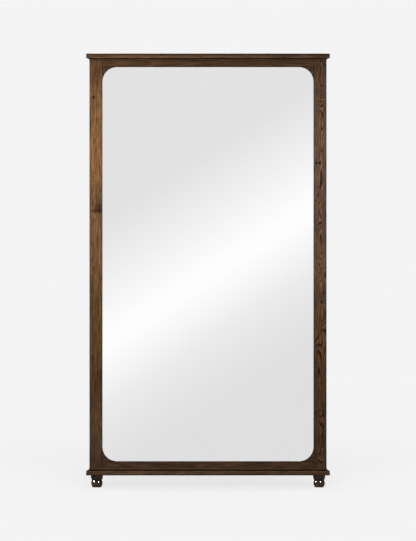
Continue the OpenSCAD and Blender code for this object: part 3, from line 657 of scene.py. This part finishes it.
# the rails' tones are partly the stain's own and partly painted light, lighter at the left end
railWoods = {
    "topRail": {"seed": 5.0, "tones": [(0.0, "#4e3825"), (0.5, "#432f1e"), (1.0, "#443123")]},
    "bottomRail": {"seed": 6.0, "tones": [(0.0, "#463022"), (0.5, "#442f20"), (1.0, "#432f1f")]},
}
lipHalf = -stileHigh[0]
glassHalf = -glassStep
panelHalf = -panelStep
for name, node, up in (("topRail", "top_rail", 1), ("bottomRail", "bottom_rail", -1)):
    low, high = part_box(node)
    inner, outer = (low[2], high[2]) if up > 0 else (high[2], low[2])
    glassSide = inner + up * (glassHalf - lipHalf)
    panelSide = inner + up * (panelHalf - lipHalf)
    rail = startBlock(
        name, (-lipHalf, low[1], min(panelSide, outer)), (lipHalf, high[1], max(panelSide, outer)))
    cutAt(1, [lipBack, ledge])
    pickFaces(rail, lambda at, normal: normal.z * up < -0.9 and at.y < ledge)
    bpy.ops.mesh.extrude_region_move(TRANSFORM_OT_translate={"value": (0, 0, glassSide - panelSide)})
    pickFaces(rail, lambda at, normal: normal.z * up < -0.9 and at.y < lipBack)
    bpy.ops.mesh.extrude_region_move(TRANSFORM_OT_translate={"value": (0, 0, inner - glassSide)})
    # each end steps out behind the lip, and its tenon stands on the last step
    for end in (-1, 1):
        for behind, shoulder, reach in (
                (lipBack, 0, glassHalf - lipHalf), (ledge, 0, panelHalf - glassHalf),
                (ledge, railLook["tenonShoulder"], high[0] - panelHalf)):
            pickFaces(rail, lambda at, normal: normal.x * end > 0.9 and at.y > behind)
            if shoulder:
                bpy.ops.mesh.inset(thickness=shoulder)
            bpy.ops.mesh.extrude_region_move(TRANSFORM_OT_translate={"value": (end * reach, 0, 0)})
    pickEdges(rail, lambda a, b: runsAlong(a, b, 0) and bothAt(a, b, 1, low[1]) and bothAt(a, b, 2, inner))
    bpy.ops.mesh.bevel(offset=railLook["ease"], segments=3, affect="EDGES")
    cutAt(2, between(min(inner, outer), max(inner, outer), railLook["heightCuts"]))
    pickEdges(rail, lambda a, b: runsAlong(a, b, 0))
    bpy.ops.mesh.subdivide(number_cuts=round(2 * lipHalf / railLook["step"]))
    bpy.ops.object.mode_set(mode="OBJECT")
    pastEnd = 1     # so that the ends, which don't show, count as no arris
    wearBoard(rail, railLook, (-pastEnd, low[1], low[2]), (pastEnd, high[1], high[2]))
    finishPiece(rail, node, woodMaterial("stained oak rail, satin lacquer, " + name, {
        **oakLook, "box": (low, high), "ringDepth": 0.26, "streakDepth": 0.34, "fleckDepth": 0.4,
        **railWoods[name]}))
    # the corner blocks take the tone of the rail's near end
    for side, turn, tone in (("left", -1, 0), ("right", 1, 2)):
        corner = f"corner_block_{'top' if up > 0 else 'bottom'}_{side}"
        paint(corner, woodMaterial("stained oak corner block, satin lacquer, " + corner, {
            **oakLook, "box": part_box(corner), "seed": 9.0 + up + turn / 2, "ringDepth": 0.3, "streakDepth": 0.4,
            "tones": [railWoods[name]["tones"][tone]] * 2, "arris": 2.2 * mm,
            "arc": (turn * (lipHalf - railLook["arc"]), inner - up * railLook["arc"], railLook["arc"])}))
print("rails made")


# Cap and base boards, with the coves that carry them

# ease rounds the outer arrises, innerEase those against the coves
boardLook = {"ease": 2 * mm, "innerEase": 0.8 * mm, "step": 5 * mm, "depthCuts": 6, "heightCuts": 3,
             "waveSize": 0.09, "waveDepth": 0.2 * mm, "nickSize": 0.012, "nickDepth": 0.7 * mm}
# The tones are partly the stain's own and partly painted light, lighter at the left end. Painted light and shade
# run across each board: the cap darker towards its top and lighter towards its bottom, the base lighter towards
# its top.
boardWoods = {
    "capBoard": {"seed": 7.0, "paintedLight": (2.25, 0.24), "edge": 1, "tones": [
        (0.0, "#4e3827"), (0.5, "#473323"), (1.0, "#38271a")]},
    "baseBoard": {"seed": 8.0, "paintedLight": (0.8, 1.2), "edge": -1, "tones": [
        (0.0, "#523c2a"), (0.5, "#4b3826"), (1.0, "#473322")]},
}
for name, node in (("capBoard", "cap_board"), ("baseBoard", "base_board")):
    low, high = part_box(node)
    board = startBlock(name, low, high)
    outer, inner = (high[2], low[2]) if name == "capBoard" else (low[2], high[2])
    for level, ease in ((outer, "ease"), (inner, "innerEase")):
        pickEdges(board, lambda a, b: bothAt(a, b, 2, level) and not bothAt(a, b, 1, high[1]))
        bpy.ops.mesh.bevel(offset=boardLook[ease], segments=4, affect="EDGES")
    cutAt(1, between(low[1] + boardLook["ease"], high[1] - boardLook["ease"], boardLook["depthCuts"]))
    cutAt(2, between(low[2] + boardLook["ease"], high[2] - boardLook["ease"], boardLook["heightCuts"]))
    pickEdges(board, lambda a, b: runsAlong(a, b, 0))
    bpy.ops.mesh.subdivide(number_cuts=round((high[0] - low[0]) / boardLook["step"]))
    bpy.ops.object.mode_set(mode="OBJECT")
    wearBoard(board, boardLook, low, high)
    finishPiece(board, node, woodMaterial("stained oak board, satin lacquer, " + name, {
        **oakLook, "box": (low, high), "ringDepth": 0.2, "streakDepth": 0.3, "fleckDepth": 0.45,
        "arrisShade": 1.0, "darkEnds": True, **boardWoods[name]}))

# The coves are darkened with painted shade, which hides most of the grain: the cap's cove darkest at its top
# under the cap, the base's darkest at its bottom against the base board, and the cap's a little lighter at its
# left end
coveWoods = {
    "cap": {"paintedLight": (1.9, 0.02), "tones": [
        (0.0, "#553f2e"), (0.08, "#4c3827"), (0.5, "#412f20"), (1.0, "#412f20")]},
    "base": {"paintedLight": (0.04, 1.45), "tones": [(0.0, "#3a291d"), (0.5, "#3e2c1f"), (1.0, "#392819")]},
}
for part, look in coveWoods.items():
    coveShade = woodMaterial("stained oak cove, dark glaze, " + part, {
        **oakLook, "box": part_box(part + "_cove_front"), "seed": 11.0, "ringDepth": 0.1, "streakDepth": 0.3,
        "arrisShade": 0.0, "warm": 0.0, "paintedLightKind": "SMOOTHSTEP", **look})
    for side in ("front", "left", "right"):
        paint(f"{part}_cove_{side}", coveShade)
print("boards and coves made")


# Feet

# Turned ball feet: a ball, a sharp neck and a collar whose side bulges. Heights are above the floor, and the
# collar is widest a little below its top.
footLook = {"ball": 26.2 * mm, "ballHeight": 19.5 * mm, "neck": 32.9 * mm, "collar": 28 * mm, "bulge": 33 * mm,
            "belowTop": 4 * mm, "rings": 12, "around": 64}
# Thick gloss lacquer over turned wood: small hard highlights on the ball. The tones paint shade dark in the neck
# and on the upper ball, and paint warm reflected light low on the ball
footWood = {
    "along": "Z", "pith": (0.06, 0.09), "streak": 6 * mm, "streakDepth": 0.7, "arrisShade": 0.0, "rough": 0.12,
    "shine": 0.17, "relief": 0.01 * mm, "tones": [
        (0.0, "#332014"), (0.22, "#47301f"), (0.45, "#251710"), (0.58, "#140b06"), (0.64, "#1c110b"),
        (0.74, "#37261b"), (1.0, "#402d1f")],
}
for name, node in (("leftFoot", "left_foot"), ("rightFoot", "right_foot")):
    low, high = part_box(node)
    axis = middle(low, high)
    ball, bulge, neck, rings = (footLook[key] for key in ("ball", "bulge", "neck", "rings"))
    widest = high[2] - footLook["belowTop"]
    profile = [(math.sqrt(ball ** 2 - (z - footLook["ballHeight"]) ** 2), z)
               for z in [low[2], *between(low[2], neck, rings), neck]]
    profile += [(footLook["collar"] - bulge + math.sqrt(bulge ** 2 - (z - widest) ** 2), z)
                for z in [*between(neck, high[2], rings), high[2]]]
    bpy.ops.object.select_all(action="DESELECT")
    bpy.ops.mesh.primitive_circle_add(
        vertices=footLook["around"], radius=profile[0][0], location=(axis[0], axis[1], profile[0][1]))
    foot = bpy.context.object
    foot.name = name
    bpy.ops.object.transform_apply(location=True, rotation=True, scale=True)
    bpy.ops.object.mode_set(mode="EDIT")
    bpy.ops.mesh.select_all(action="SELECT")
    # the rim is drawn up the profile ring by ring
    for (radius, z), (nextRadius, nextZ) in zip(profile, profile[1:]):
        bpy.ops.mesh.extrude_edges_move(TRANSFORM_OT_translate={"value": (0, 0, nextZ - z)})
        bpy.ops.transform.resize(
            value=(nextRadius / radius, nextRadius / radius, 1), center_override=(axis[0], axis[1], nextZ))
    bpy.ops.mesh.edge_face_add()
    pickEdges(foot, lambda a, b: bothAt(a, b, 2, low[2]))
    bpy.ops.mesh.edge_face_add()
    for z, normal in ((low[2], -1), (high[2], 1)):
        pickFaces(foot, lambda at, facing: facing.z * normal > 0.99 and abs(at.z - z) < tiny)
        bpy.ops.mesh.poke()
    bpy.ops.mesh.select_all(action="SELECT")
    bpy.ops.mesh.normals_make_consistent(inside=False)
    bpy.ops.object.mode_set(mode="OBJECT")
    finishPiece(foot, node, woodMaterial("turned oak foot, gloss lacquer, " + name, {
        **oakLook, "box": (low, high), "seed": 12.0 + (name == "rightFoot"), **footWood}))
    litFeet.objects.link(foot)
print("feet made")


# Glass

# Silvered float glass: a mirror, with the faintest smears left by wiping
glassLook = {"tint": "#fafafa", "smearScale": 3.0, "smearRange": (0.4, 0.8), "haze": 0.02}
silver, tree, shader = newMaterial("silvered float glass")
shader.inputs["Base Color"].default_value = linearColour(glassLook["tint"])
shader.inputs["Metallic"].default_value = 1.0
place = addNode(tree, "TexCoord")
smears = addNode(tree, "TexNoise", {}, {
    "Vector": place.outputs["Object"], "Scale": glassLook["smearScale"], "Detail": 3.0})
haze = addNode(tree, "MapRange", {}, {
    "Value": smears, "From Min": glassLook["smearRange"][0], "From Max": glassLook["smearRange"][1],
    "To Min": 0.0, "To Max": glassLook["haze"]})
feed(tree, haze, shader, "Roughness")
paint("mirror_glass", silver)


# Hardware and hidden parts

# One noise that drifts a colour between two and roughens or smooths the surface with it
def mottledMaterial(name, look):
    material, tree, shader = newMaterial(name)
    place = addNode(tree, "TexCoord")
    grain = addNode(tree, "TexNoise", {}, {
        "Vector": place.outputs["Object"], "Scale": 1 / look["size"], "Detail": 4.0, "Roughness": 0.6})
    colour = setRamp(addNode(tree, "ValToRGB", {}, {0: grain}), [(0.34, look["dark"]), (0.66, look["light"])])
    rough = addNode(tree, "MapRange", {}, {
        **noiseRange, "Value": grain, "To Min": look["rough"][0], "To Max": look["rough"][1]})
    bump = addNode(tree, "Bump", {}, {"Height": grain, "Distance": look["relief"], "Strength": 0.6})
    feed(tree, colour, shader, "Base Color")
    feed(tree, rough, shader, "Roughness")
    feed(tree, bump, shader, "Normal")
    shader.inputs["Metallic"].default_value = look["metal"]
    return material


matt = {"metal": 0.0, "rough": (0.6, 0.8), "relief": 0.2 * mm}
# Zinc is bright and slightly cloudy. Rubber, felt and foam are matt. Hardboard and film have a low sheen.
# Hardboard's and felt's fibres are drawn at 3 mm and foam's cells at 2 mm, so that they show.
hiddenFinishes = {
    "bright zinc-plated steel": {**matt, "size": 6 * mm, "dark": "#8d9197", "light": "#b4b8bd", "metal": 1.0,
        "rough": (0.24, 0.42), "relief": 0.02 * mm},
    "moulded black rubber": {**matt, "size": 1.5 * mm, "dark": "#121212", "light": "#1f1f1f",
        "relief": 0.05 * mm},
    "grey wool felt": {**matt, "size": 3 * mm, "dark": "#2a2724", "light": "#4a4540", "rough": (0.9, 1.0),
        "relief": 0.4 * mm},
    "tempered hardboard": {**matt, "size": 3 * mm, "dark": "#4e3623", "light": "#6d4e34", "rough": (0.38, 0.55),
        "relief": 0.05 * mm},
    "black foam tape": {**matt, "size": 2 * mm, "dark": "#0e0e0e", "light": "#242424", "rough": (0.8, 0.95)},
    "grey backing film": {**matt, "size": 60 * mm, "dark": "#5d6468", "light": "#727a7e", "rough": (0.25, 0.4),
        "relief": 0.5 * mm},
}
finishOf = {
    "bright zinc-plated steel": ["screws", "bolt", "insert", "braces", "strap", "ring"],
    "moulded black rubber": ["bumper", "blocks", "spacers"], "grey wool felt": ["pad"],
    "tempered hardboard": ["back_panel"], "black foam tape": ["glazing_tape"],
    "grey backing film": ["safety_film"]}
made = {finish: mottledMaterial(finish, look) for finish, look in hiddenFinishes.items()}
for finish, endings in finishOf.items():
    for name in nodes:
        if any(name.endswith(ending) for ending in endings):
            paint(name, made[finish])

# Bare softwood battens and beech dowels, pale and matt
plainWood = {**oakLook, "pith": (0.02, 0.06), "ring": 4.0 * mm, "knotColour": "#5a3a20", "arrisShade": 0.0,
             "fleckDepth": 0.1, "streakDepth": 0.2, "ringDepth": 0.25, "rough": 0.7, "shine": 0.3}
plainWoods = {
    "upper_batten": {"seed": 21.0, "tones": [(0.0, "#b8935f"), (1.0, "#c19c6a")], "knots": [
        {"side": 0.008, "along": 0.330, "r": 7 * mm, "long": 1.4, "push": 12 * mm, "dark": 0.8}]},
    "lower_batten": {"seed": 22.0, "tones": [(0.0, "#bd9864"), (1.0, "#b48d5a")], "knots": [
        {"side": -0.010, "along": 0.790, "r": 6 * mm, "long": 1.4, "push": 12 * mm, "dark": 0.8}]},
    "cap_dowels": {"seed": 23.0, "along": "Z", "tones": [(0.0, "#b58f68"), (1.0, "#bd976f")]},
}
for name, look in plainWoods.items():
    paint(name, woodMaterial("bare wood, " + name, {**plainWood, "box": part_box(name), **look}))
print("finishes made:", len(bpy.data.materials))

# everything but the glass is lit by the softboxes
for name, piece in nodes.items():
    if name != "mirror_glass":
        litPieces.objects.link(piece)
